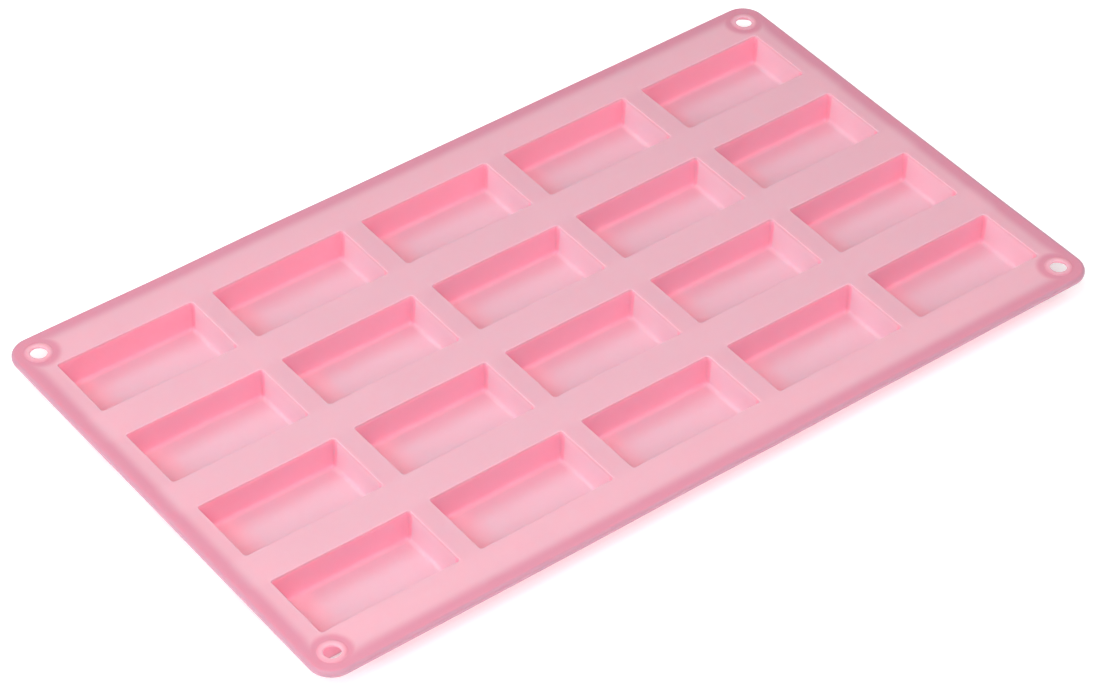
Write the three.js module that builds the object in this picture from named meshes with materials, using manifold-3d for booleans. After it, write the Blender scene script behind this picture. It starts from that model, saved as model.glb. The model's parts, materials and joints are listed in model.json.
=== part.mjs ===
// Silicone sheet mould for small soap bars: twenty rectangular cups hang under one flat deck, inside a
// thicker rim with an eyelet in each corner. Millimetres, X along the long side, Y along the short side,
// Z up. The origin is under the middle of the sheet, on the plane that the cups stand on.
//
// The real mould is one continuous moulding. It is divided here along its own features: the rim, the eyelets,
// and the cups, each with its share of the deck. Neighbouring pieces meet face to face.
import * as THREE from 'three';
import Module from 'manifold-3d';
import { mergeVertices } from 'three/addons/utils/BufferGeometryUtils.js';

const wasm = await Module();
wasm.setup();

// Sheet
const SHEET_LENGTH = 300;
const SHEET_WIDTH = 175;
const SHEET_CORNER_RADIUS = 8;
const DECK_THICKNESS = 1.5;

// Rim
const RIM_WIDTH = 6.5;
const RIM_THICKNESS = 2.6;
const RIM_EDGE_ROUNDING = 0.9;
const RIM_INNER_RADIUS = 4;

// Eyelets
const EYELET_INSET = 8.4;
const EYELET_HOLE_RADIUS = 2.75;
const EYELET_WEB_RADIUS = 4.5;
const EYELET_WEB_THICKNESS = 0.9;
const EYELET_BOSS_RADIUS = 5.9;
const EYELET_BEAD_HEIGHT = 0.2;

// Cavities: the mouth is in the top face of the deck, and the walls lean in towards the floor
const COLUMNS = 5;
const ROWS = 4;
const COLUMN_PITCH = 57.5;
const ROW_PITCH = 38.8;
const CAVITY_LENGTH = 50;
const CAVITY_WIDTH = 26;
const CAVITY_DEPTH = 11;
const CAVITY_CORNER_RADIUS = 1;
const CAVITY_FLOOR_FILLET = 1;
const DRAFT_ON_EACH_SIDE = 0.5;

// Cup shells
const CUP_WALL = 1.3;
const CUP_FLOOR = 1.4;
const CUP_OUTER_FILLET = 1.6;

// How finely the round parts are cut into flats
const SHEET_CORNER_STEPS = 4;
const RIM_EDGE_STEPS = 2;
const SMALL_CORNER_STEPS = 1;
const FILLET_STEPS = 2;
const ROUND_STEPS = 24;
const BEAD_STEPS = 6;

// How far a cutter runs past the face that it cuts through
const OVERRUN = 3;

// Heights
const TOP_FACE = CUP_FLOOR + CAVITY_DEPTH;
const RIM_UNDERSIDE = TOP_FACE - RIM_THICKNESS;

const SILICONE = { color: 0xedb7c4, roughness: 0.5, metalness: 0 };

// A closed geometry as a solid that can be joined and cut.
function toSolid(geometry) {
  const bare = geometry.clone();
  bare.deleteAttribute('normal');
  bare.deleteAttribute('uv');
  const merged = mergeVertices(bare, 1e-4);
  const vertProperties = new Float32Array(merged.attributes.position.array);
  const triVerts = new Uint32Array(merged.index.array);
  return new wasm.Manifold(new wasm.Mesh({ numProp: 3, vertProperties, triVerts }));
}

function toGeometry(solid) {
  const mesh = solid.getMesh();
  const geometry = new THREE.BufferGeometry();
  geometry.setAttribute('position', new THREE.BufferAttribute(mesh.vertProperties, 3));
  geometry.setIndex(new THREE.BufferAttribute(mesh.triVerts, 1));
  geometry.computeVertexNormals();
  return geometry;
}

function roundedRectangle(length, width, radius) {
  const x = length / 2 - radius;
  const y = width / 2 - radius;
  const shape = new THREE.Shape();
  shape.absarc(x, y, radius, 0, Math.PI / 2, false);
  shape.absarc(-x, y, radius, Math.PI / 2, Math.PI, false);
  shape.absarc(-x, -y, radius, Math.PI, 1.5 * Math.PI, false);
  shape.absarc(x, -y, radius, 1.5 * Math.PI, 2 * Math.PI, false);
  shape.closePath();
  return shape;
}

// An upright block with a rounded rectangle for its plan, and its top and bottom edges rounded.
function block({ length, width, radius, bottom, top, rounding = 0, cornerSteps, edgeSteps = 1 }) {
  const geometry = new THREE.ExtrudeGeometry(roundedRectangle(length, width, radius), {
    depth: top - bottom - 2 * rounding,
    curveSegments: cornerSteps,
    bevelEnabled: rounding > 0,
    bevelThickness: rounding,
    bevelSize: rounding,
    bevelOffset: -rounding,
    bevelSegments: edgeSteps,
  });
  return geometry.translate(0, 0, bottom + rounding);
}

// Leans the sides of a block in by the draft of the cavity walls. A point in the top face doesn't move.
function addDraft(geometry) {
  const position = geometry.attributes.position;
  for (let i = 0; i < position.count; i += 1) {
    const inset = (DRAFT_ON_EACH_SIDE * (TOP_FACE - position.getZ(i))) / CAVITY_DEPTH;
    position.setX(i, position.getX(i) - Math.sign(position.getX(i)) * inset);
    position.setY(i, position.getY(i) - Math.sign(position.getY(i)) * inset);
  }
  return geometry;
}

// The space inside one cavity, run on above the top face so that it cuts the deck as well.
function cavitySpace() {
  return toSolid(addDraft(block({
    length: CAVITY_LENGTH,
    width: CAVITY_WIDTH,
    radius: CAVITY_CORNER_RADIUS,
    bottom: CUP_FLOOR,
    top: TOP_FACE + OVERRUN,
    rounding: CAVITY_FLOOR_FILLET,
    cornerSteps: SMALL_CORNER_STEPS,
    edgeSteps: FILLET_STEPS,
  })));
}

// The outside of one cup, centred on its own axis and ending inside the thickness of the deck.
function cupOutside() {
  const outside = toSolid(addDraft(block({
    length: CAVITY_LENGTH + 2 * CUP_WALL,
    width: CAVITY_WIDTH + 2 * CUP_WALL,
    radius: CAVITY_CORNER_RADIUS + CUP_WALL,
    bottom: 0,
    top: TOP_FACE + OVERRUN,
    rounding: CUP_OUTER_FILLET,
    cornerSteps: SMALL_CORNER_STEPS,
    edgeSteps: FILLET_STEPS,
  })));
  const above = new THREE.BoxGeometry(SHEET_LENGTH, SHEET_WIDTH, 2 * TOP_FACE);
  above.translate(0, 0, TOP_FACE - DECK_THICKNESS / 2 + TOP_FACE);
  return outside.subtract(toSolid(above));
}

// Where the tile of one column or row begins and ends. An outer tile runs on to the edge of the sheet.
function tileSpan(index, count, pitch, sheetSize) {
  const low = (index - count / 2) * pitch;
  return [
    index === 0 ? -sheetSize / 2 : low,
    index === count - 1 ? sheetSize / 2 : low + pitch,
  ];
}

// One cup with its share of the deck, which reaches halfway to its neighbours, or to the rim.
function cupWithDeck({ row, column, x, y }, insideRim, outside, cavity) {
  const [left, right] = tileSpan(column, COLUMNS, COLUMN_PITCH, SHEET_LENGTH);
  const [front, back] = tileSpan(row, ROWS, ROW_PITCH, SHEET_WIDTH);
  const tile = new THREE.BoxGeometry(right - left, back - front, DECK_THICKNESS);
  tile.translate((left + right) / 2, (front + back) / 2, TOP_FACE - DECK_THICKNESS / 2);
  const deck = toSolid(tile).intersect(insideRim);
  return deck.add(outside.translate([x, y, 0])).subtract(cavity.translate([x, y, 0]));
}

// An upright disc at every eyelet, joined into one solid.
function discsAtEyelets(radius) {
  const disc = new THREE.CylinderGeometry(radius, radius, TOP_FACE + 2 * OVERRUN, ROUND_STEPS);
  disc.rotateX(Math.PI / 2).translate(0, 0, TOP_FACE / 2);
  const upright = toSolid(disc);
  const discs = eyeletPlaces().map(({ x, y }) => upright.translate([x, y, 0]));
  return discs.reduce((joined, next) => joined.add(next));
}

function eyeletPlaces() {
  const x = SHEET_LENGTH / 2 - EYELET_INSET;
  const y = SHEET_WIDTH / 2 - EYELET_INSET;
  return [
    { name: 'front_left', x: -x, y: -y },
    { name: 'front_right', x, y: -y },
    { name: 'back_right', x, y },
    { name: 'back_left', x: -x, y },
  ];
}

function cupPlaces() {
  const places = [];
  for (let row = 0; row < ROWS; row += 1) {
    for (let column = 0; column < COLUMNS; column += 1) {
      places.push({
        name: `row_${row + 1}_column_${column + 1}`,
        row,
        column,
        x: (column - (COLUMNS - 1) / 2) * COLUMN_PITCH,
        y: (row - (ROWS - 1) / 2) * ROW_PITCH,
      });
    }
  }
  return places;
}

// The area inside the rim, less the round boss that the rim makes about each eyelet.
function spaceInsideRim() {
  const window = toSolid(block({
    length: SHEET_LENGTH - 2 * RIM_WIDTH,
    width: SHEET_WIDTH - 2 * RIM_WIDTH,
    radius: RIM_INNER_RADIUS,
    bottom: -OVERRUN,
    top: TOP_FACE + OVERRUN,
    cornerSteps: SHEET_CORNER_STEPS,
  }));
  return window.subtract(discsAtEyelets(EYELET_BOSS_RADIUS));
}

// The thick border round the sheet, flush with the deck on top and deeper below.
function rimBand(insideRim) {
  const slab = toSolid(block({
    length: SHEET_LENGTH,
    width: SHEET_WIDTH,
    radius: SHEET_CORNER_RADIUS,
    bottom: RIM_UNDERSIDE,
    top: TOP_FACE,
    rounding: RIM_EDGE_ROUNDING,
    cornerSteps: SHEET_CORNER_STEPS,
    edgeSteps: RIM_EDGE_STEPS,
  }));
  return slab.subtract(insideRim).subtract(discsAtEyelets(EYELET_WEB_RADIUS));
}

// A thin round web with the hole in its middle. It fills the top of a round opening in the rim, and its
// own top face swells into a low bead.
function eyelet() {
  const middle = (EYELET_HOLE_RADIUS + EYELET_WEB_RADIUS) / 2;
  const halfWidth = (EYELET_WEB_RADIUS - EYELET_HOLE_RADIUS) / 2;
  const profile = [
    new THREE.Vector2(EYELET_HOLE_RADIUS, TOP_FACE - EYELET_WEB_THICKNESS),
    new THREE.Vector2(EYELET_WEB_RADIUS, TOP_FACE - EYELET_WEB_THICKNESS),
  ];
  for (let step = 0; step <= BEAD_STEPS; step += 1) {
    const angle = (Math.PI * step) / BEAD_STEPS;
    profile.push(new THREE.Vector2(
      middle + halfWidth * Math.cos(angle),
      TOP_FACE + EYELET_BEAD_HEIGHT * Math.sin(angle),
    ));
  }
  profile.push(profile[0].clone());
  return new THREE.LatheGeometry(profile, ROUND_STEPS).rotateX(Math.PI / 2);
}

function addPiece(group, name, geometry, x = 0, y = 0) {
  const piece = new THREE.Mesh(geometry, new THREE.MeshStandardMaterial(SILICONE));
  piece.name = name;
  piece.position.set(x, y, 0);
  group.add(piece);
}

const mould = new THREE.Group();
const insideRim = spaceInsideRim();
const cavity = cavitySpace();
const outside = cupOutside();

addPiece(mould, 'rim_band', toGeometry(rimBand(insideRim)));
for (const { name, x, y } of eyeletPlaces()) {
  addPiece(mould, `hanging_eyelet_${name}`, eyelet(), x, y);
}
for (const place of cupPlaces()) {
  const cup = cupWithDeck(place, insideRim, outside, cavity);
  addPiece(mould, `cup_${place.name}`, toGeometry(cup));
}

export default mould;
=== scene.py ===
"""Looks of a flexible silicone sheet mould for small soap bars.

The real mould is one continuous moulding, so one closed skin stands for its deck, rim, eyelets and cups.
Everything is in metres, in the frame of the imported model: X along the long side, Y along the short side,
Z up, and the cups stand on Z = 0.
"""

import json
import logging
import math
from dataclasses import dataclass
from enum import Enum

import bpy
import numpy as np
from mathutils import Matrix, Vector

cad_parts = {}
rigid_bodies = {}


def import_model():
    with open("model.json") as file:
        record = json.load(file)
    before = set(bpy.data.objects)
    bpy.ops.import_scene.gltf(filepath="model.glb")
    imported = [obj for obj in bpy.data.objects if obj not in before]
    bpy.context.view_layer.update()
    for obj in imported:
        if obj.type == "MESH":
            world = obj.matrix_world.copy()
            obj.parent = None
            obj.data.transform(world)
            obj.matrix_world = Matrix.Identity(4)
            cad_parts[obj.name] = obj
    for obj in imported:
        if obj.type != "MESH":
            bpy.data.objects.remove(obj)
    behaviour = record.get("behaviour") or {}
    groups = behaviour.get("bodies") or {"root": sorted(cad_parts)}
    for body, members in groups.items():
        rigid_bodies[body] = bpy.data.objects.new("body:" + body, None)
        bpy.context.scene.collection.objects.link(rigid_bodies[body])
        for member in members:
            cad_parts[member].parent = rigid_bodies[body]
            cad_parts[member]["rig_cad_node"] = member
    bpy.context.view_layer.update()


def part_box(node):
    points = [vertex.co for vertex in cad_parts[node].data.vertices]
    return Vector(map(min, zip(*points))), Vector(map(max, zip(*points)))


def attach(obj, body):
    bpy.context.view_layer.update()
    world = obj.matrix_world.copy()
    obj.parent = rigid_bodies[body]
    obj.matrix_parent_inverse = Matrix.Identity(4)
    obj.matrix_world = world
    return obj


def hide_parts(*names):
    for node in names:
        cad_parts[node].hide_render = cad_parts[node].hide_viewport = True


MM = 0.001
LOG = logging.getLogger("soap_mould")

# A red, green and blue share of light.
Colour = tuple[float, float, float]

# Where a smooth step gives 0, and where it gives 1.
Span = tuple[float, float]


# -------------------- shader maths


class Socket:
    """One value in a shader, on which plain arithmetic adds Math nodes."""

    def __init__(self, graph: "Graph", link: bpy.types.NodeSocket) -> None:
        """Wraps an output socket of a graph."""
        self.graph = graph
        self.link = link

    def _math(self, operation: str, *values: "Socket | float") -> "Socket":
        """Adds one Math node of the named operation."""
        return self.graph.node("ShaderNodeMath", {"operation": operation}, dict(enumerate(values)))

    def __add__(self, other: "Socket | float") -> "Socket":
        """self + other"""
        return self._math("ADD", self, other)

    def __radd__(self, other: float) -> "Socket":
        """other + self"""
        return self._math("ADD", other, self)

    def __sub__(self, other: "Socket | float") -> "Socket":
        """self - other"""
        return self._math("SUBTRACT", self, other)

    def __rsub__(self, other: float) -> "Socket":
        """other - self"""
        return self._math("SUBTRACT", other, self)

    def __mul__(self, other: "Socket | float") -> "Socket":
        """self * other"""
        return self._math("MULTIPLY", self, other)

    def __rmul__(self, other: float) -> "Socket":
        """other * self"""
        return self._math("MULTIPLY", other, self)

    def __truediv__(self, other: "Socket | float") -> "Socket":
        """self / other"""
        return self._math("DIVIDE", self, other)

    def __abs__(self) -> "Socket":
        """The size of self without its sign."""
        return self._math("ABSOLUTE", self)

    def least(self, other: "Socket | float") -> "Socket":
        """The smaller of the two."""
        return self._math("MINIMUM", self, other)

    def most(self, other: "Socket | float") -> "Socket":
        """The larger of the two."""
        return self._math("MAXIMUM", self, other)

    def root(self) -> "Socket":
        """The square root of self."""
        return self._math("SQRT", self)

    def to_nearest(self, lines: tuple[float, ...]) -> "Socket":
        """The signed distance from self to the nearest of evenly spaced lines.

        Args:
            lines: the places of the lines, in order.

        Returns:
            A value between minus and plus half the spacing.
        """
        pitch = lines[1] - lines[0]
        turns = (self - lines[0]) / pitch + 0.5
        return (self._math("FRACT", turns) - 0.5) * pitch

    def ramp(self, start: float, end: float) -> "Socket":
        """A smooth step from 0 at start to 1 at end. start may be above end.

        Args:
            start: the value of self that gives 0.
            end: the value of self that gives 1.

        Returns:
            t * t * (3 - 2 t), where t runs from 0 to 1 between start and end.
        """
        settings = {"interpolation_type": "SMOOTHSTEP", "clamp": True}
        low, high, at_low, at_high = (start, end, 0.0, 1.0) if start < end else (end, start, 1.0, 0.0)
        inputs = {0: self, 1: low, 2: high, 3: at_low, 4: at_high}
        return self.graph.node("ShaderNodeMapRange", settings, inputs)

    def inward(self, edge: float, span: Span) -> "Socket":
        """A smooth step from 0 to 1 between two distances inwards of an edge, or below a height."""
        return self.ramp(edge - span[0], edge - span[1])


class Graph:
    """The nodes of one material."""

    def __init__(self, name: str) -> None:
        """Makes a material with no nodes.

        Args:
            name: the material's name.
        """
        self.material = bpy.data.materials.new(name)
        self.material.use_nodes = True
        self.tree = self.material.node_tree
        self.tree.nodes.clear()

    def node(
        self,
        kind: str,
        settings: dict[str, object] | None = None,
        inputs: dict[int | str, object] | None = None,
        output: int | str = 0,
    ) -> Socket:
        """Adds a node.

        Args:
            kind: the node's type.
            settings: properties that are set before its sockets.
            inputs: the value or the Socket for each input, by its index or name.
            output: the output that is wanted.

        Returns:
            That output as a Socket.
        """
        made = self.tree.nodes.new(kind)
        for name, value in (settings or {}).items():
            setattr(made, name, value)
        for key, value in (inputs or {}).items():
            if isinstance(value, Socket):
                self.tree.links.new(value.link, made.inputs[key])
            else:
                made.inputs[key].default_value = value
        return Socket(self, made.outputs[output])

    def position(self) -> tuple[Socket, Socket, Socket, Socket]:
        """Reads where a point is on its piece.

        Returns:
            The point, and its X, Y and Z.
        """
        point = self.node("ShaderNodeTexCoord", output="Object")
        split = {axis: self.node("ShaderNodeSeparateXYZ", {}, {0: point}, axis) for axis in "XYZ"}
        return point, split["X"], split["Y"], split["Z"]

    def noise(self, point: Socket, size: float, detail: float = 2.0) -> Socket:
        """Soft noise between 0 and 1, with patches of a size in metres and a number of finer layers."""
        values = {"Vector": point, "Scale": 1.0 / size, "Detail": detail, "Roughness": 0.5}
        return self.node("ShaderNodeTexNoise", {"noise_dimensions": "3D"}, values)

    def mix(self, factor: Socket, first: Socket | Colour, second: Socket | Colour) -> Socket:
        """Mixes two colours: a factor of 0 gives the first, and 1 the second."""
        values = {0: factor, 6: opaque(first), 7: opaque(second)}
        return self.node("ShaderNodeMix", {"data_type": "RGBA"}, values, 2)

    def surface(self, inputs: dict[str, object]) -> bpy.types.Material:
        """Finishes the material with a Principled surface.

        Args:
            inputs: the value or the Socket for each input of the surface.

        Returns:
            The material.
        """
        shader = self.node("ShaderNodeBsdfPrincipled", {"subsurface_method": "RANDOM_WALK"}, inputs)
        out = self.tree.nodes.new("ShaderNodeOutputMaterial")
        self.tree.links.new(shader.link, out.inputs["Surface"])
        return self.material


def opaque(colour: Socket | Colour) -> Socket | tuple[float, ...]:
    """A colour with full alpha, or the Socket that it already is."""
    return colour if isinstance(colour, Socket) else (*colour, 1.0)


# -------------------- sizes


@dataclass(frozen=True)
class Sizes:
    """Sizes and places of the mould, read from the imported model, apart from the deck's thickness."""

    half_length: float
    half_width: float
    top: float
    rim_under: float
    rim_inner_x: float
    rim_inner_y: float
    columns: tuple[float, ...]
    rows: tuple[float, ...]
    eyelet_x: float
    eyelet_y: float
    web_radius: float
    web_under: float
    bead_height: float
    deck_thickness: float = 1.5 * MM

    @property
    def deck_under(self) -> float:
        """The height of the deck's underside."""
        return self.top - self.deck_thickness

    @classmethod
    def from_frame(cls) -> "Sizes":
        """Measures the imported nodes.

        Returns:
            The sizes, with each row and column of cups given by its middle.
        """
        rim, eyelet = node_box("rim_band"), node_box("hanging_eyelet_back_right")
        row_count, column_count = (len({name.split("_")[place] for name in cup_nodes()}) for place in (2, 4))
        last_cup = node_box(f"cup_row_{row_count}_column_{column_count}")
        column_pitch, row_pitch = np.ptp(node_box("cup_row_2_column_2"), axis=0)[:2]
        return cls(
            half_length=rim[1, 0],
            half_width=rim[1, 1],
            top=last_cup[1, 2],
            rim_under=rim[0, 2],
            rim_inner_x=last_cup[1, 0],
            rim_inner_y=last_cup[1, 1],
            columns=evenly_spaced(column_count, column_pitch),
            rows=evenly_spaced(row_count, row_pitch),
            eyelet_x=eyelet.mean(0)[0],
            eyelet_y=eyelet.mean(0)[1],
            web_radius=np.ptp(eyelet, axis=0)[0] / 2,
            web_under=eyelet[0, 2],
            bead_height=eyelet[1, 2] - last_cup[1, 2],
        )


def node_box(node: str) -> np.ndarray:
    """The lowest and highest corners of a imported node, as two rows."""
    return np.array([tuple(corner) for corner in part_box(node)], float)


def packed_nodes() -> list[str]:
    """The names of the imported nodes."""
    return [o["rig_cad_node"] for o in bpy.data.objects if "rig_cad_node" in o]


def cup_nodes() -> list[str]:
    """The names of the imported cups, each of which gives its row and its column."""
    return [name for name in packed_nodes() if name.startswith("cup_row_")]


def evenly_spaced(count: int, pitch: float) -> tuple[float, ...]:
    """Places a pitch apart, with their middle at 0."""
    return tuple((np.arange(count) - (count - 1) / 2) * pitch)


def smooth(t: np.ndarray) -> np.ndarray:
    """A smooth step: t * t * (3 - 2 t), with t kept between 0 and 1."""
    t = np.clip(t, 0.0, 1.0)
    return t * t * (3.0 - 2.0 * t)


# -------------------- skin


class Skin:
    """Patches of quads that are welded along their shared edges into one closed mesh.

    Points in one small cell of space, WELD wide, become one point. WELD_OFFSET keeps the walls between the
    cells away from round numbers, where many points lie.
    """

    WELD = 1e-6
    WELD_OFFSET = 0.137

    def __init__(self) -> None:
        """Starts with no patch."""
        self._points: list[np.ndarray] = []
        self._quads: list[np.ndarray] = []
        self._count = 0

    def add(self, grid: np.ndarray, closed: bool = False, flipped: bool = False) -> None:
        """Adds a grid of points as a patch. Its faces look along (next row) x (next column).

        Args:
            grid: points in rows and columns, as an array of rows x columns x 3.
            closed: whether the last column joins the first.
            flipped: whether the faces look the other way.
        """
        rows, columns = grid.shape[:2]
        index = np.arange(rows * columns).reshape(rows, columns) + self._count
        if closed:
            index = np.hstack([index, index[:, :1]])
        quads = np.stack([index[:-1, :-1], index[1:, :-1], index[1:, 1:], index[:-1, 1:]], -1).reshape(-1, 4)
        self._points.append(grid.reshape(-1, 3))
        self._quads.append(quads[:, ::-1] if flipped else quads)
        self._count += rows * columns

    def welded(self) -> tuple[np.ndarray, list[list[int]]]:
        """Joins points that lie in one place, and drops faces that have shrunk to a line.

        Returns:
            The points, and the faces as lists of point numbers.
        """
        points = np.vstack(self._points)
        cells = np.round(points / self.WELD + self.WELD_OFFSET).astype(np.int64)
        _, first, place = np.unique(cells, axis=0, return_index=True, return_inverse=True)
        quads = place.reshape(-1)[np.vstack(self._quads)]
        repeats = quads == np.roll(quads, -1, axis=1)
        shrunk = repeats.sum(1)
        triangles = quads[shrunk == 1][~repeats[shrunk == 1]].reshape(-1, 3)
        return points[first], quads[shrunk == 0].tolist() + triangles.tolist()


@dataclass(frozen=True)
class RingSteps:
    """How many steps a ring round a cavity has: half a corner, a long side and a short side."""

    half_corner: int = 3
    long_side: int = 20
    short_side: int = 10

    def rounded(self, half_x: float, half_y: float, radius: float) -> np.ndarray:
        """A rounded rectangle about the origin, anticlockwise from its +X end.

        Formula: four quarter circles about the inner corners, joined by evenly divided straight sides.

        Args:
            half_x: half its length.
            half_y: half its width.
            radius: its corner radius.

        Returns:
            Its points, as rows of X and Y.
        """
        turn = np.linspace(0.0, math.pi / 2, 2 * self.half_corner + 1)
        arcs = []
        for quarter, (side_x, side_y) in enumerate(((1, 1), (-1, 1), (-1, -1), (1, -1))):
            angle = turn + quarter * math.pi / 2
            centre = np.array([side_x * (half_x - radius), side_y * (half_y - radius)])
            arcs.append(centre + radius * np.column_stack([np.cos(angle), np.sin(angle)]))
        return self._joined(arcs)

    def square(self, tile_x: np.ndarray, tile_y: np.ndarray) -> np.ndarray:
        """The edge of a tile, with one point for each point of a ring inside it.

        Formula: each rounded corner opens out into the two short runs that meet at the tile's corner.

        Args:
            tile_x: the tile's low edge, the ends of the ring's straight part, and the tile's high edge, in X.
            tile_y: the same in Y.

        Returns:
            Its points, as rows of X and Y.
        """
        arcs = []
        for turned, (ix, iy) in enumerate(((3, 3), (0, 3), (0, 0), (3, 0))):
            corner = np.array([tile_x[ix], tile_y[iy]])
            beside = np.array([tile_x[ix], tile_y[abs(iy - 1)]])
            above = np.array([tile_x[abs(ix - 1)], tile_y[iy]])
            start, end = (beside, above) if turned % 2 == 0 else (above, beside)
            run_in = np.linspace(start, corner, self.half_corner + 1)
            run_out = np.linspace(corner, end, self.half_corner + 1)[1:]
            arcs.append(np.vstack([run_in, run_out]))
        return self._joined(arcs)

    def _joined(self, arcs: list[np.ndarray]) -> np.ndarray:
        """Joins four corners by evenly divided straight sides.

        Args:
            arcs: the points of each corner, in order.

        Returns:
            The points of the whole ring.
        """
        steps = (self.long_side, self.short_side, self.long_side, self.short_side)
        runs = []
        for turned, count in enumerate(steps):
            runs.append(arcs[turned])
            runs.append(np.linspace(arcs[turned][-1], arcs[(turned + 1) % 4][0], count + 1)[1:-1])
        return np.vstack(runs)


def at_height(ring: np.ndarray, height: float | np.ndarray) -> np.ndarray:
    """A flat ring lifted to a height, or to one height for each point."""
    return np.column_stack([ring, np.broadcast_to(height, len(ring))])


@dataclass(frozen=True)
class Cup:
    """One cup, inside and outside, as rings about its own middle. Offsets are from the mouth, outwards."""

    sizes: Sizes
    half_x: float = 25.0 * MM
    half_y: float = 13.0 * MM
    wall: float = 1.3 * MM
    floor: float = 1.4 * MM
    corner_radius: float = 1.0 * MM
    draft: float = 0.5 * MM
    mouth_rounding: float = 0.25 * MM
    floor_fillet: float = 1.4 * MM
    base_fillet: float = 1.6 * MM
    root_fillet: float = 0.6 * MM
    support: float = 0.12 * MM
    sharpest: float = 0.1 * MM
    closing_radius: float = 0.4
    roundest: float = 0.5
    floor_shares: tuple[float, ...] = (1.0, 0.72, 0.45, 0.22, 0.07)
    fillet_points: int = 5
    wall_points: int = 5
    steps: RingSteps = RingSteps()

    def lean(self, height: float | np.ndarray) -> float | np.ndarray:
        """The offset of a leaning wall at a height: 0 at the top face, and below 0 under it."""
        return -self.draft * (self.sizes.top - height) / (self.sizes.top - self.floor)

    @property
    def root_offset(self) -> float:
        """Where the outside of the cup has run out into the deck's underside, from the mouth."""
        return self.wall + self.lean(self.sizes.deck_under) + self.root_fillet

    def inside(self) -> np.ndarray:
        """Offsets and heights from the middle of the floor to the land round the mouth.

        Formula: flat floor, quarter circle, leaning wall, quarter circle, flat land.

        Returns:
            Rows of offset and height.
        """
        top, quarter = self.sizes.top, np.linspace(0.0, math.pi / 2, self.fillet_points)
        fillet, rounding = self.floor_fillet, self.mouth_rounding
        foot = self.lean(self.floor + fillet)
        flat = foot - fillet - np.array(self.floor_shares) * (self.half_y + foot - fillet)
        wall = np.linspace(self.floor + fillet, top - rounding, self.wall_points)[1:]
        land = [rounding + self.support, rounding + 3 * self.support]
        return np.vstack([
            np.column_stack([flat, np.full(len(flat), self.floor)]),
            np.column_stack([
                foot - fillet + fillet * np.sin(quarter), self.floor + fillet * (1 - np.cos(quarter))
            ]),
            np.column_stack([self.lean(wall), wall]),
            np.column_stack([rounding * (1 - np.cos(quarter)), top - rounding * (1 - np.sin(quarter))])[1:],
            np.column_stack([land, [top, top]]),
        ])

    def outside(self) -> np.ndarray:
        """Offsets and heights from the middle of the base to the deck's underside.

        Formula: flat base, quarter circle, leaning wall, hollow quarter circle.

        Returns:
            Rows of offset and height.
        """
        under, quarter = self.sizes.deck_under, np.linspace(0.0, math.pi / 2, self.fillet_points)
        fillet, root = self.base_fillet, self.root_fillet
        foot = self.wall + self.lean(fillet)
        flat = foot - fillet - np.array(self.floor_shares) * (self.half_y + foot - fillet)
        wall = np.linspace(fillet, under - root, self.wall_points)[1:]
        neck = self.wall + self.lean(under - root)
        return np.vstack([
            np.column_stack([flat, np.zeros(len(flat))]),
            np.column_stack([foot - fillet + fillet * np.sin(quarter), fillet * (1 - np.cos(quarter))]),
            np.column_stack([self.wall + self.lean(wall), wall]),
            np.column_stack([
                neck + root * (1 - np.cos(quarter)), under - root * (1 - np.sin(quarter))
            ])[1:],
        ])

    def rings(self, profile: np.ndarray, middle: np.ndarray) -> list[np.ndarray]:
        """Carries a profile round the cup.

        Formula: at each offset, the rounded rectangle that lies that far outside the mouth. Deep inside it,
        the corners grow rounder until the ring closes on a line.

        Args:
            profile: rows of offset and height.
            middle: X and Y of the cup's middle.

        Returns:
            One ring of points for each row of the profile.
        """
        rings = []
        for offset, height in profile:
            half_x, half_y = self.half_x + offset, self.half_y + offset
            grown = self.corner_radius + offset
            radius = max(grown, self.sharpest, -self.closing_radius * grown)
            ring = self.steps.rounded(half_x, half_y, min(radius, self.roundest * half_y))
            rings.append(at_height(ring + middle, height))
        return rings


@dataclass(frozen=True)
class Wave:
    """Slow unevenness of a soft sheet, as a sum of sine waves of many directions."""

    seed: int = 11
    count: int = 9
    shortest: float = 60 * MM
    longest: float = 240 * MM
    lift: float = 0.16 * MM
    shift: float = 0.13 * MM

    def moved(self, points: np.ndarray, top: float) -> np.ndarray:
        """Moves points by the waves. The base stays where it is, and the top face moves the most.

        Formula: each axis adds the mean of sin(2 pi (x cos a + y sin a) / length + phase) over the waves.

        Args:
            points: rows of X, Y and Z.
            top: the height that moves by the full amount.

        Returns:
            The moved points.
        """
        rng = np.random.default_rng(self.seed)
        angle = rng.uniform(0.0, 2 * math.pi, (3, self.count))
        length = rng.uniform(self.shortest, self.longest, (3, self.count))
        phase = rng.uniform(0.0, 2 * math.pi, (3, self.count))
        along = points[:, 0, None, None] * np.cos(angle) + points[:, 1, None, None] * np.sin(angle)
        waves = np.sin(2 * math.pi * along / length + phase).sum(-1) / math.sqrt(self.count)
        share = np.clip(points[:, 2:] / top, 0.0, 1.0)
        return points + waves * share * np.array([self.shift, self.shift, self.lift])


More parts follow.
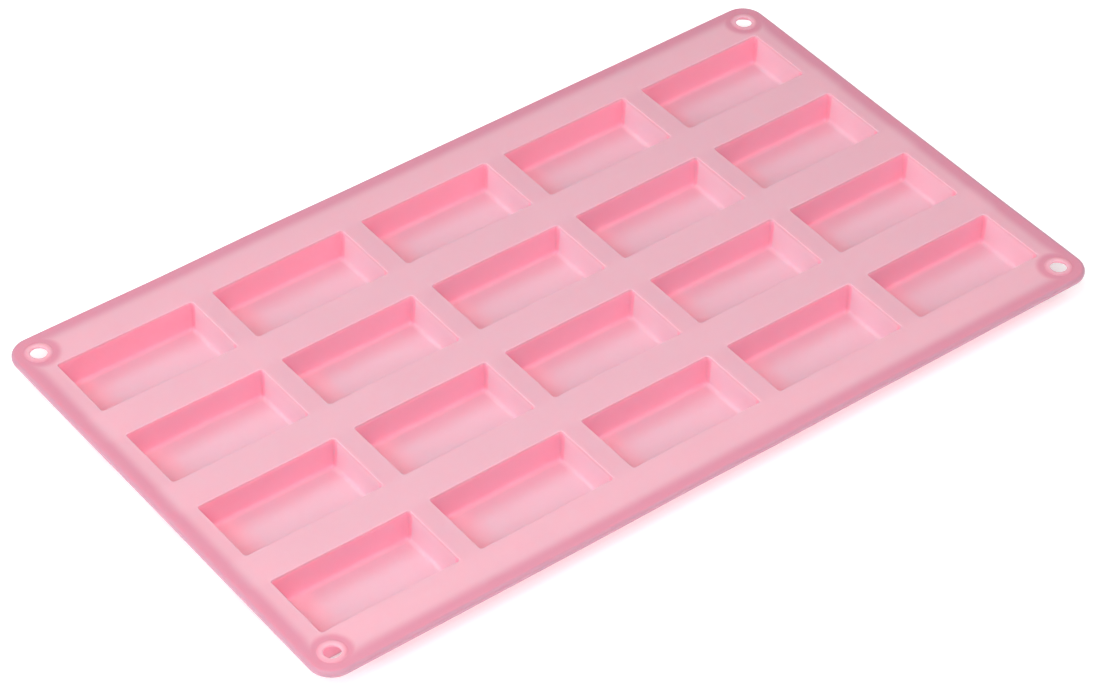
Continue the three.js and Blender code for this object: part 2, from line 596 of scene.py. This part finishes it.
@dataclass(frozen=True)
class Border:
    """The rim, the eyelets and the strip of deck inside them."""

    sizes: Sizes
    cup: Cup
    edge_rounding: float = 1.15 * MM
    step_width: float = 0.9 * MM
    corner_radius: float = 8.0 * MM
    hole_radius: float = 2.75 * MM
    hole_rounding: float = 0.2 * MM
    pocket_rounding: float = 0.35 * MM
    boss_radius: float = 5.9 * MM
    tile_margin: float = 0.35 * MM
    support: float = 0.25 * MM
    lead_spacing: float = 2.0 * MM
    corner_clearance: float = 2.0 * MM
    corner_steps: int = 12
    side_steps: int = 5
    edge_steps: int = 5
    blend_steps: int = 9
    slope_points: int = 5
    bead_points: int = 9
    fillet_points: int = 4

    @property
    def tile_edge_x(self) -> float:
        """Where the tiles of the outer columns end."""
        return self.sizes.columns[-1] + self.cup.half_x + self.cup.root_offset + self.tile_margin

    @property
    def tile_edge_y(self) -> float:
        """Where the tiles of the outer rows end."""
        return self.sizes.rows[-1] + self.cup.half_y + self.cup.root_offset + self.tile_margin

    def underside(self, plan: np.ndarray) -> np.ndarray:
        """The height of the deck's and the rim's underside.

        Formula: a smooth step down from the deck to the rim, which is thick within the rim's width of the
        outline and round each eyelet.

        Args:
            plan: rows of X and Y.

        Returns:
            One height for each row.
        """
        s, step = self.sizes, self.step_width
        x, y = np.abs(plan).T
        from_eyelet = np.hypot(x - s.eyelet_x, y - s.eyelet_y)
        nearness = np.maximum.reduce([
            smooth((x - s.rim_inner_x + step) / step),
            smooth((y - s.rim_inner_y + step) / step),
            smooth((self.boss_radius - from_eyelet) / step),
        ])
        return s.deck_under - (s.deck_under - s.rim_under) * nearness

    def stations(self, start: float, rim_inner: float, outline: float) -> np.ndarray:
        """Places across the border, close together where the underside steps down.

        Args:
            start: where the tiles end.
            rim_inner: the rim's inner edge.
            outline: the outline's place.

        Returns:
            Places from start to where the rounded edge begins.
        """
        step = rim_inner - self.step_width
        lead = np.linspace(start, step, 2 + int((step - start) / self.lead_spacing))
        slope = np.linspace(step, rim_inner, self.slope_points)[1:]
        flat = np.linspace(rim_inner, outline - self.edge_rounding, self.slope_points)[1:]
        return np.concatenate([lead, slope, flat])

    @property
    def stations_x(self) -> np.ndarray:
        """Places across the left and right borders."""
        return self.stations(self.tile_edge_x, self.sizes.rim_inner_x, self.sizes.half_length)

    @property
    def stations_y(self) -> np.ndarray:
        """Places across the front and back borders."""
        return self.stations(self.tile_edge_y, self.sizes.rim_inner_y, self.sizes.half_width)

    def corner_outline(self) -> tuple[np.ndarray, np.ndarray]:
        """The outline's inner line through one corner, from the side strip's end to the back strip's.

        Formula: a straight run, a quarter circle and a straight run.

        Returns:
            Its points, and the outward direction at each, as rows of X and Y.
        """
        s, inner = self.sizes, self.corner_radius - self.edge_rounding
        centre = np.array([s.half_length - self.corner_radius, s.half_width - self.corner_radius])
        angle = np.linspace(0.0, math.pi / 2, self.corner_steps + 1)
        outward = np.column_stack([np.cos(angle), np.sin(angle)])
        arc = centre + inner * outward
        up = np.linspace([arc[0, 0], self.tile_edge_y], arc[0], self.side_steps + 1)[:-1]
        along = np.linspace(arc[-1], [self.strip_end, arc[-1, 1]], self.side_steps + 2)[1:]
        points = np.vstack([up, arc, along])
        facing = np.vstack([np.tile([1.0, 0.0], (len(up), 1)), outward, np.tile([0.0, 1.0], (len(along), 1))])
        return points, facing

    @property
    def strip_end(self) -> float:
        """Where the front and back strips end and a corner cell begins: a point of the outer tiles' edge."""
        samples = self.samples_x()
        return float(samples[samples < self.sizes.eyelet_x - self.boss_radius - self.corner_clearance].max())

    def tile_lines(self, middles: tuple[float, ...], half: float, outer: float) -> list[np.ndarray]:
        """Divides the deck into tiles, whose edges lie halfway between neighbours.

        Args:
            middles: the middle of each column or row.
            half: half the mouth's size that way.
            outer: where the last tile ends.

        Returns:
            For each tile: its low edge, the ends of the mouth's straight part, and its high edge.
        """
        between = [(a + b) / 2 for a, b in zip(middles, middles[1:])]
        edges = [-outer, *between, outer]
        straight = half - self.cup.corner_radius
        return [
            np.array([low, middle - straight, middle + straight, high])
            for middle, low, high in zip(middles, edges, edges[1:])
        ]

    def columns(self) -> list[np.ndarray]:
        """The tile lines of the columns."""
        return self.tile_lines(self.sizes.columns, self.cup.half_x, self.tile_edge_x)

    def rows(self) -> list[np.ndarray]:
        """The tile lines of the rows."""
        return self.tile_lines(self.sizes.rows, self.cup.half_y, self.tile_edge_y)

    def samples(self, tiles: list[np.ndarray], side_steps: int) -> np.ndarray:
        """Lists the points along the edge of a line of tiles.

        Args:
            tiles: the lines of each tile.
            side_steps: how many steps the mouth's straight part has.

        Returns:
            Their places, in order.
        """
        corner = self.cup.steps.half_corner
        runs = [np.array([tiles[0][0]])]
        for low, start, end, high in tiles:
            runs.append(np.linspace(low, start, corner + 1)[1:])
            runs.append(np.linspace(start, end, side_steps + 1)[1:])
            runs.append(np.linspace(end, high, corner + 1)[1:])
        return np.concatenate(runs)

    def samples_x(self) -> np.ndarray:
        """The places of the points along the tiles' front and back edges."""
        return self.samples(self.columns(), self.cup.steps.long_side)

    def samples_y(self) -> np.ndarray:
        """The places of the points along the tiles' left and right edges."""
        return self.samples(self.rows(), self.cup.steps.short_side)

    def flat_grid(self, xs: np.ndarray, ys: np.ndarray, below: bool) -> np.ndarray:
        """Lays a grid on the top face or on the underside.

        Args:
            xs: X of each of its rows.
            ys: Y of each of its columns.
            below: whether it is on the underside.

        Returns:
            The points, as an array of rows x columns x 3.
        """
        plan = np.stack(np.meshgrid(xs, ys, indexing="ij"), -1)
        height = self.underside(plan.reshape(-1, 2)) if below else np.full(plan[..., 0].size, self.sizes.top)
        return np.concatenate([plan, height.reshape(*plan.shape[:2], 1)], -1)

    def add_strips(self, skin: Skin) -> None:
        """Adds the four straight stretches of border, top and underside.

        Args:
            skin: where they are added.
        """
        middle = self.samples_x()
        middle = middle[np.abs(middle) <= self.strip_end + self.cup.support]
        for below in (False, True):
            for side in (1.0, -1.0):
                flipped = below != (side < 0)
                back = self.flat_grid(middle, side * self.stations_y, below)
                right = self.flat_grid(side * self.stations_x, self.samples_y(), below)
                skin.add(back, flipped=flipped)
                skin.add(right, flipped=flipped)

    def corner_cell(self) -> np.ndarray:
        """Walks round the edge of the back right corner cell, anticlockwise from its inner front corner.

        Returns:
            Its points, as rows of X and Y.
        """
        xs, ys = self.samples_x(), self.stations_y
        near = np.concatenate([xs[xs >= self.strip_end - self.cup.support], self.stations_x[1:]])
        front = np.column_stack([near, np.full(len(near), self.tile_edge_y)])
        outline, _ = self.corner_outline()
        left = np.column_stack([np.full(len(ys) - 2, self.strip_end), ys[-2:0:-1]])
        return np.vstack([front, outline[1:], left])

    def eyelet_top(self) -> np.ndarray:
        """Radii and heights from the foot of the hole, over the bead, to the top face round it.

        Formula: an upright side, half a wave for the bead, and flat land.

        Returns:
            Rows of radius and height.
        """
        s, turn = self.sizes, np.linspace(0.0, math.pi, self.bead_points)
        middle, reach = (self.hole_radius + s.web_radius) / 2, (s.web_radius - self.hole_radius) / 2
        side = np.linspace(s.web_under + self.hole_rounding, s.top, 3)[:-1]
        return np.vstack([
            np.column_stack([np.full(len(side), self.hole_radius), side]),
            np.column_stack([middle - reach * np.cos(turn), s.top + s.bead_height * np.sin(turn)]),
            [[s.web_radius + self.support, s.top]],
        ])

    def eyelet_under(self) -> np.ndarray:
        """Radii and heights from the foot of the hole, across the pocket, to the rim's underside round it.

        Formula: quarter circle, flat web, hollow quarter circle, upright side, quarter circle and flat.

        Returns:
            Rows of radius and height.
        """
        s, turn = self.sizes, np.linspace(0.0, math.pi / 2, self.fillet_points)
        lip, fillet, outer = self.hole_rounding, self.pocket_rounding, s.web_radius
        return np.vstack([
            np.column_stack([
                self.hole_radius + lip * (1 - np.cos(turn)), s.web_under + lip * (1 - np.sin(turn))
            ]),
            np.column_stack([
                outer - fillet * (1 - np.sin(turn)), s.web_under - fillet * (1 - np.cos(turn))
            ]),
            np.column_stack([
                outer + fillet * (1 - np.cos(turn)), s.rim_under + fillet * (1 - np.sin(turn))
            ]),
            [[outer + fillet + self.support / 2, s.rim_under]],
        ])

    def add_corner(self, skin: Skin, side_x: float, side_y: float) -> None:
        """Adds one corner with its eyelet, top and underside.

        Formula: rings about the hole, each with a point towards every point of the cell's edge. Past the
        eyelet a ring blends evenly from a circle into the cell's edge.

        Args:
            skin: where it is added.
            side_x: 1 for the right and -1 for the left.
            side_y: 1 for the back and -1 for the front.
        """
        s, cell = self.sizes, self.corner_cell()
        centre, mirror = np.array([s.eyelet_x, s.eyelet_y]), np.array([side_x, side_y])
        ray = (cell - centre) / np.linalg.norm(cell - centre, axis=1)[:, None]
        shares = np.linspace(0.0, 1.0, self.blend_steps + 1)[1:]
        for profile, below in ((self.eyelet_top(), False), (self.eyelet_under(), True)):
            rings = [at_height((centre + radius * ray) * mirror, height) for radius, height in profile]
            for share in shares:
                plan = (centre + profile[-1, 0] * ray) * (1 - share) + cell * share
                rings.append(at_height(plan * mirror, self.underside(plan) if below else s.top))
            skin.add(np.array(rings), closed=True, flipped=below == (side_x * side_y > 0))

    def add_edge(self, skin: Skin) -> None:
        """Adds the rounded outer edge all the way round.

        Formula: quarter circle, short upright and quarter circle, carried round the outline's inner line
        along its outward direction.

        Args:
            skin: where it is added.
        """
        s, rounding = self.sizes, self.edge_rounding
        points, facing = self.outline()
        turn = np.linspace(0.0, math.pi / 2, self.edge_steps + 1)
        reach = np.concatenate([np.sin(turn), np.sin(turn[::-1])]) * rounding
        fall = (1 - np.cos(turn)) * rounding
        height = np.concatenate([s.top - fall, s.rim_under + fall[::-1]])
        plan = points[None] + reach[:, None, None] * facing[None]
        upright = np.broadcast_to(height[:, None, None], (*plan.shape[:2], 1))
        skin.add(np.concatenate([plan, upright], -1), closed=True)

    def outline(self) -> tuple[np.ndarray, np.ndarray]:
        """The inner line of the rounded edge, anticlockwise from the right side's front end.

        Returns:
            Its points, and the outward direction at each, as rows of X and Y.
        """
        s = self.sizes
        ys = self.samples_y()[1:-1]
        xs = self.samples_x()
        xs = xs[np.abs(xs) < self.strip_end - self.cup.support]
        corner, facing = self.corner_outline()
        x, y = s.half_length - self.edge_rounding, s.half_width - self.edge_rounding
        right = np.column_stack([np.full(len(ys), x), ys])
        back = np.column_stack([xs[::-1], np.full(len(xs), y)])
        runs = [
            (right, np.tile([1.0, 0.0], (len(ys), 1))),
            (corner, facing),
            (back, np.tile([0.0, 1.0], (len(xs), 1))),
            (corner[::-1] * [-1, 1], facing[::-1] * [-1, 1]),
        ]
        turned = [(-run, -out) for run, out in runs]
        return np.vstack([r for r, _ in runs + turned]), np.vstack([f for _, f in runs + turned])


# -------------------- finishes


@dataclass(frozen=True)
class CupParts:
    """Where the parts of a cup are, and the narrow bridge of deck beside its short walls, from 0 to 1: the
    masks of the painted light and shade.
    """

    bridge: Socket
    long_wall_bounce_glow: Socket
    lit_short_wall: Socket
    floor: Socket
    floor_side: Socket
    floor_left_shade: Socket


@dataclass(frozen=True)
class SiliconeFinish:
    """Satin pink silicone that takes light in.

    It is pale on the thin sheet and in the middle of the cups' floors, and deeper where the rim and the
    bosses are thick. Painted light and shade stand in for how the lamps fall: a painted pale lit tone on the
    cups' short walls, a painted warm glow of bounced light on their long walls and on the floors beside
    those, a warm painted shadow with bounced light on the floors by the left walls, and duller painted shade
    on the narrow bridges between the cups and on the rim's outer edge.

    A name that ends in _zone says where a tint begins and where it is full. The rim's and the outer edge's
    are measured in from the outline, the boss's and the bead's out from an eyelet's middle, and the wall
    foot's and the floor's up from the base. The others go in from a mouth's edge or down from a face.
    """

    sizes: Sizes
    border: Border
    cup: Cup
    sheet: Colour = (0.70, 0.41, 0.48)
    floor: Colour = (0.668, 0.436, 0.507)
    # painted bounce light: the floors beside the long walls take on the walls' warm glow
    floor_side: Colour = (0.64, 0.345, 0.42)
    # painted shadow of the left wall on the floor, with painted bounce light
    floor_left_shade: Colour = (0.77, 0.36, 0.435)
    # painted light: the short walls are paler, as if lit from the left
    lit_short_wall: Colour = (0.79, 0.505, 0.592)
    # painted bounce light and shade: the long walls get a deep warm glow, as of light bounced inside the cup
    long_wall_bounce_glow: Colour = (0.94, 0.372, 0.49)
    # deep colour of the thick rim and bosses, also used for the painted shade on the bridges
    thick_and_bridge_shade: Colour = (0.63, 0.268, 0.352)
    # painted shade on the rim's outer edge
    shaded_outer_edge: Colour = (0.50, 0.268, 0.345)
    rim_zone: Span = (7.2 * MM, 2.6 * MM)
    boss_zone: Span = (8.0 * MM, 5.6 * MM)
    bead_zone: Span = (3.0 * MM, 5.0 * MM)
    shaded_outer_edge_zone: Span = (1.3 * MM, 0.4 * MM)
    wall_zone: Span = (2.6 * MM, 1.4 * MM)
    wall_top_zone: Span = (0.1 * MM, 1.4 * MM)
    wall_foot_zone: Span = (1.0 * MM, 2.2 * MM)
    floor_zone: Span = (3.0 * MM, 1.8 * MM)
    # where the painted bounce light on the floors beside the long walls begins and is full
    floor_side_bounce_zone: Span = (10.0 * MM, 3.0 * MM)
    floor_left_shade_zone: Span = (16.0 * MM, 7.0 * MM)
    floor_left_shade_depth: float = 0.8
    bridge_zone: Span = (0.2 * MM, -1.2 * MM)
    bridge_end_zone: Span = (-2.0 * MM, 2.0 * MM)
    bridge_under_zone: Span = (0.5 * MM, 0.0)
    # how much painted shade the narrow bridges between the cups get
    bridge_shade_depth: float = 0.14
    mottle_size: float = 22 * MM
    mottle_detail: float = 3.0
    mottle_colour: float = 0.16
    mottle_roughness: float = 0.14
    grain_size: float = 0.45 * MM
    grain_colour: float = 0.03
    grain_roughness: float = 0.10
    grain_relief: float = 0.6
    swell_size: float = 9 * MM
    relief: float = 0.02 * MM
    roughness: float = 0.46
    refraction: float = 1.41
    reach: float = 2.5 * MM
    reach_by_colour: Colour = (1.0, 0.35, 0.42)

    def material(self) -> bpy.types.Material:
        """Builds the material.

        Returns:
            The silicone material.
        """
        g = Graph("satin_silicone")
        point, x, y, z = g.position()
        mottle = g.noise(point, self.mottle_size, self.mottle_detail) - 0.5
        grain = g.noise(point, self.grain_size) - 0.5
        swell = g.noise(point, self.swell_size, detail=1.0)
        clouding = (mottle * self.mottle_colour + grain * self.grain_colour).most(0.0)
        from_column = x.to_nearest(self.sizes.columns)
        from_row = abs(y.to_nearest(self.sizes.rows))
        inset, parts = self._inset(x, y), self._cup_parts(from_column, from_row, z)
        # thick rim and bosses, random mottle, and painted shade on the bridges between the cups
        thick_and_bridge_shade = self._thick_part(x, y, inset) + clouding + parts.bridge * self.bridge_shade_depth
        # painted shade on the rim's outer edge, mixed into the deep colour
        deep_and_edge_shade = g.mix(inset.ramp(*self.shaded_outer_edge_zone), self.thick_and_bridge_shade, self.shaded_outer_edge)
        # thin sheet and cups, with painted light and shade on the cups' walls and floors
        thin_with_painted_light = self._cup_colour(g, parts)
        height = {"Strength": 1.0, "Distance": self.relief, "Height": grain * self.grain_relief + swell}
        return g.surface({
            "Base Color": g.mix(thick_and_bridge_shade.least(1.0), thin_with_painted_light, deep_and_edge_shade),
            "Roughness": self.roughness + mottle * self.mottle_roughness + grain * self.grain_roughness,
            "IOR": self.refraction,
            "Subsurface Weight": 1.0,
            "Subsurface Radius": self.reach_by_colour,
            "Subsurface Scale": self.reach,
            "Normal": g.node("ShaderNodeBump", {}, height),
        })

    def _cup_colour(self, g: Graph, parts: CupParts) -> Socket:
        """The colour of the thin sheet and of the cups in it, with painted light and shade on the cups' walls
        and floors.

        Args:
            g: the graph that it is mixed in.
            parts: where the parts of a cup are.

        Returns:
            The colour.
        """
        # painted bounce light on the floors beside the long walls
        floor_with_painted_light = g.mix(parts.floor_side, self.floor, self.floor_side)
        # painted shadow with bounce light on the floors by the left walls
        floor_with_painted_light = g.mix(parts.floor_left_shade, floor_with_painted_light, self.floor_left_shade)
        colour = g.mix(parts.floor, self.sheet, floor_with_painted_light)
        # painted pale light on the short walls and painted bounce glow on the long walls
        return g.mix(parts.long_wall_bounce_glow, g.mix(parts.lit_short_wall, colour, self.lit_short_wall), self.long_wall_bounce_glow)

    def _inset(self, x: Socket, y: Socket) -> Socket:
        """How far a point is inside the outline.

        Args:
            x: X of the point.
            y: Y of the point.

        Returns:
            The distance to the outline, measured square to it.
        """
        s, radius = self.sizes, self.border.corner_radius
        across_x, across_y = abs(x) - (s.half_length - radius), abs(y) - (s.half_width - radius)
        outside_x, outside_y = across_x.most(0.0), across_y.most(0.0)
        round_corner = (outside_x * outside_x + outside_y * outside_y).root()
        return radius - round_corner - across_x.most(across_y).least(0.0)

    def _thick_part(self, x: Socket, y: Socket, inset: Socket) -> Socket:
        """Where the silicone is thick: the rim, and the boss round each eyelet.

        Args:
            x: X of the point.
            y: Y of the point.
            inset: how far the point is inside the outline.

        Returns:
            0 on the thin sheet and on an eyelet's bead, and up to 1 on the rim.
        """
        to_x, to_y = abs(x) - self.sizes.eyelet_x, abs(y) - self.sizes.eyelet_y
        from_eyelet = (to_x * to_x + to_y * to_y).root()
        rim = inset.ramp(*self.rim_zone).most(from_eyelet.ramp(*self.boss_zone))
        return rim * from_eyelet.ramp(*self.bead_zone)

    def _cup_parts(self, from_column: Socket, from_row: Socket, z: Socket) -> CupParts:
        """Where the bridges, the walls and the floors of the cups are, as masks for the painted light and
        shade on them.

        Args:
            from_column: how far right of the middle of the nearest column the point is.
            from_row: the distance in Y from the middle of the nearest row.
            z: Z of the point.

        Returns:
            The values for each part of a cup.
        """
        half_x, half_y = self.cup.half_x, self.cup.half_y
        beside = abs(from_column).inward(half_x, self.bridge_zone)
        between = from_row.inward(half_y, self.bridge_end_zone)
        upright = z.inward(self.sizes.top, self.wall_top_zone) * z.ramp(*self.wall_foot_zone)
        return CupParts(
            # painted shade on the narrow bridges of deck between the cups
            bridge=beside * between * z.inward(self.sizes.deck_under, self.bridge_under_zone),
            # painted bounce light and shade on the long walls
            long_wall_bounce_glow=from_row.inward(half_y, self.wall_zone) * upright,
            # painted light: paleness on the short walls
            lit_short_wall=abs(from_column).inward(half_x, self.wall_zone) * upright,
            floor=z.ramp(*self.floor_zone),
            # painted bounce light on the floors beside the long walls
            floor_side=from_row.inward(half_y, self.floor_side_bounce_zone),
            # painted shadow with bounce light on the floors by the left walls
            floor_left_shade=(0.0 - from_column).inward(half_x, self.floor_left_shade_zone) * self.floor_left_shade_depth,
        )


@dataclass(frozen=True)
class PaperFinish:
    """Plain white paper for the floor, lit a little from behind as on a light table."""

    colour: Colour = (0.90, 0.90, 0.90)
    darkest: float = 0.985
    cloud_size: float = 300 * MM
    roughness: float = 0.9
    gloss: float = 0.2
    glow: float = 0.3

    def material(self) -> bpy.types.Material:
        """Builds the material.

        Returns:
            The floor's material.
        """
        g = Graph("pale_paper")
        point, *_ = g.position()
        darker = tuple(self.darkest * share for share in self.colour)
        shade = g.mix(g.noise(point, self.cloud_size), self.colour, darker)
        return g.surface({
            "Base Color": shade,
            "Roughness": self.roughness,
            "Specular IOR Level": self.gloss,
            "Emission Color": (1.0, 1.0, 1.0, 1.0),
            "Emission Strength": self.glow,
        })


# -------------------- sub-assemblies


class Corner(Enum):
    """The corners of the sheet, as the signs of their X and Y."""

    FRONT_LEFT = (-1.0, -1.0)
    FRONT_RIGHT = (1.0, -1.0)
    BACK_RIGHT = (1.0, 1.0)
    BACK_LEFT = (-1.0, 1.0)


@dataclass(frozen=True)
class Mould:
    """The whole silicone sheet: cups, deck, rim and eyelets in one skin."""

    sizes: Sizes
    cup: Cup
    border: Border
    wave: Wave = Wave()
    land_shares: tuple[float, ...] = (0.35, 1.0)

    def build(self) -> bpy.types.Object:
        """Makes the skin, dresses it and puts it in the frame.

        Returns:
            The skin.
        """
        skin = Skin()
        self._add_cups(skin)
        self.border.add_strips(skin)
        for corner in Corner:
            self.border.add_corner(skin, *corner.value)
        self.border.add_edge(skin)
        points, faces = skin.welded()
        mesh = bpy.data.meshes.new("silicone_mould")
        mesh.from_pydata(self.wave.moved(points, self.sizes.top).tolist(), [], faces)
        mesh.validate()
        mesh.shade_smooth()
        mesh.materials.append(SiliconeFinish(self.sizes, self.border, self.cup).material())
        mould = bpy.data.objects.new("silicone_mould", mesh)
        bpy.context.scene.collection.objects.link(mould)
        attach(mould, "root")
        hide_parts(*packed_nodes())
        return mould

    def _add_cups(self, skin: Skin) -> None:
        """Adds every cup with its tile of deck, inside and outside.

        Args:
            skin: where they are added.
        """
        inside, outside = self.cup.inside(), self.cup.outside()
        for row in self.border.rows():
            for column in self.border.columns():
                middle = np.array([column[1:3].mean(), row[1:3].mean()])
                tile = self.cup.steps.square(column, row)
                upper = self.cup.rings(inside, middle)
                lower = self.cup.rings(outside, middle)
                skin.add(np.array(upper + self._land(upper[-1], tile, False)), closed=True)
                skin.add(np.array(lower + self._land(lower[-1], tile, True)), closed=True, flipped=True)

    def _land(self, ring: np.ndarray, tile: np.ndarray, below: bool) -> list[np.ndarray]:
        """The rings of flat sheet round a cup, each a set share of the way out to its tile's edge."""
        plans = [ring[:, :2] * (1 - share) + tile * share for share in self.land_shares]
        return [at_height(p, self.border.underside(p) if below else self.sizes.top) for p in plans]


@dataclass(frozen=True)
class SoftLight:
    """A square soft light that faces the target, with its azimuth and elevation in degrees."""

    name: str
    azimuth: float
    elevation: float
    watts: float
    distance: float = 1.2
    side: float = 0.8


@dataclass(frozen=True)
class Studio:
    """Pale floor, soft lights and the camera. Angles are in degrees, and azimuth 0 is in front."""

    target: tuple[float, float, float]
    lights: tuple[SoftLight, ...] = (
        SoftLight("left", azimuth=-110.0, elevation=35.0, watts=5.5),
        SoftLight("upper_left", azimuth=-70.0, elevation=60.0, watts=5.2),
        SoftLight("front_left", azimuth=-30.0, elevation=52.0, watts=7.3),
        SoftLight("front_right", azimuth=35.0, elevation=46.0, watts=2.5),
    )
    room_light: float = 0.33
    azimuth: float = -38.13
    elevation: float = 42.32
    roll: float = 1.17
    distance: float = 1242 * MM
    lens: float = 130.3
    floor_side: float = 8.0
    floor_drop: float = 0.1 * MM

    def build(self) -> None:
        """Adds the floor, the lights and the camera."""
        self._floor()
        for light in self.lights:
            self._light(light)
        self._world()
        self._camera()

    def _floor(self) -> None:
        """Adds a wide plain floor just under the cups."""
        half = self.floor_side / 2
        corners = [(-half, -half), (half, -half), (half, half), (-half, half)]
        mesh = bpy.data.meshes.new("studio_floor")
        mesh.from_pydata([(x, y, -self.floor_drop) for x, y in corners], [], [(0, 1, 2, 3)])
        mesh.materials.append(PaperFinish().material())
        floor = bpy.data.objects.new("studio_floor", mesh)
        bpy.context.scene.collection.objects.link(floor)

    def _towards(self, azimuth: float, elevation: float) -> Vector:
        """The direction from the target to a place at that azimuth and elevation."""
        turn, rise = math.radians(azimuth), math.radians(elevation)
        return Vector((math.sin(turn) * math.cos(rise), -math.cos(turn) * math.cos(rise), math.sin(rise)))

    def _light(self, light: SoftLight) -> None:
        """Adds one soft light.

        Args:
            light: its name, place, size and power.
        """
        data = bpy.data.lights.new(light.name, "AREA")
        data.shape, data.size, data.energy = "SQUARE", light.side, light.watts
        lamp = bpy.data.objects.new(light.name, data)
        back = self._towards(light.azimuth, light.elevation)
        place = Matrix.Translation(Vector(self.target) + back * light.distance)
        lamp.matrix_world = place @ back.to_track_quat("Z", "Y").to_matrix().to_4x4()
        bpy.context.scene.collection.objects.link(lamp)

    def _world(self) -> None:
        """Sets a plain white surrounding light and a plain view of colour."""
        world = bpy.data.worlds.new("white_room")
        world.use_nodes = True
        background = world.node_tree.nodes["Background"]
        background.inputs["Color"].default_value = (1.0, 1.0, 1.0, 1.0)
        background.inputs["Strength"].default_value = self.room_light
        bpy.context.scene.world = world
        bpy.context.scene.view_settings.view_transform = "Standard"

    def _camera(self) -> None:
        """Adds the camera, rolled about its own line of sight."""
        data = bpy.data.cameras.new("camera")
        data.lens = self.lens
        camera = bpy.data.objects.new("camera", data)
        back = self._towards(self.azimuth, self.elevation)
        across = Vector((0.0, 0.0, 1.0)).cross(back).normalized()
        level = Matrix((across, back.cross(across), back)).transposed().to_4x4()
        place = Matrix.Translation(Vector(self.target) + back * self.distance)
        camera.matrix_world = place @ level @ Matrix.Rotation(math.radians(self.roll), 4, "Z")
        bpy.context.scene.collection.objects.link(camera)
        bpy.context.scene.camera = camera


def main() -> None:
    """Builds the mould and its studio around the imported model."""
    logging.basicConfig(level=logging.INFO, format="%(name)s: %(message)s")
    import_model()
    sizes = Sizes.from_frame()
    cup = Cup(sizes)
    mould = Mould(sizes, cup, Border(sizes, cup)).build()
    LOG.info("%s: %d points, %d faces", mould.name, len(mould.data.vertices), len(mould.data.polygons))
    Studio(target=(-11.6 * MM, -12.1 * MM, sizes.top)).build()
    LOG.info("studio: floor, lights and camera")


if __name__ == "__main__":
    main()
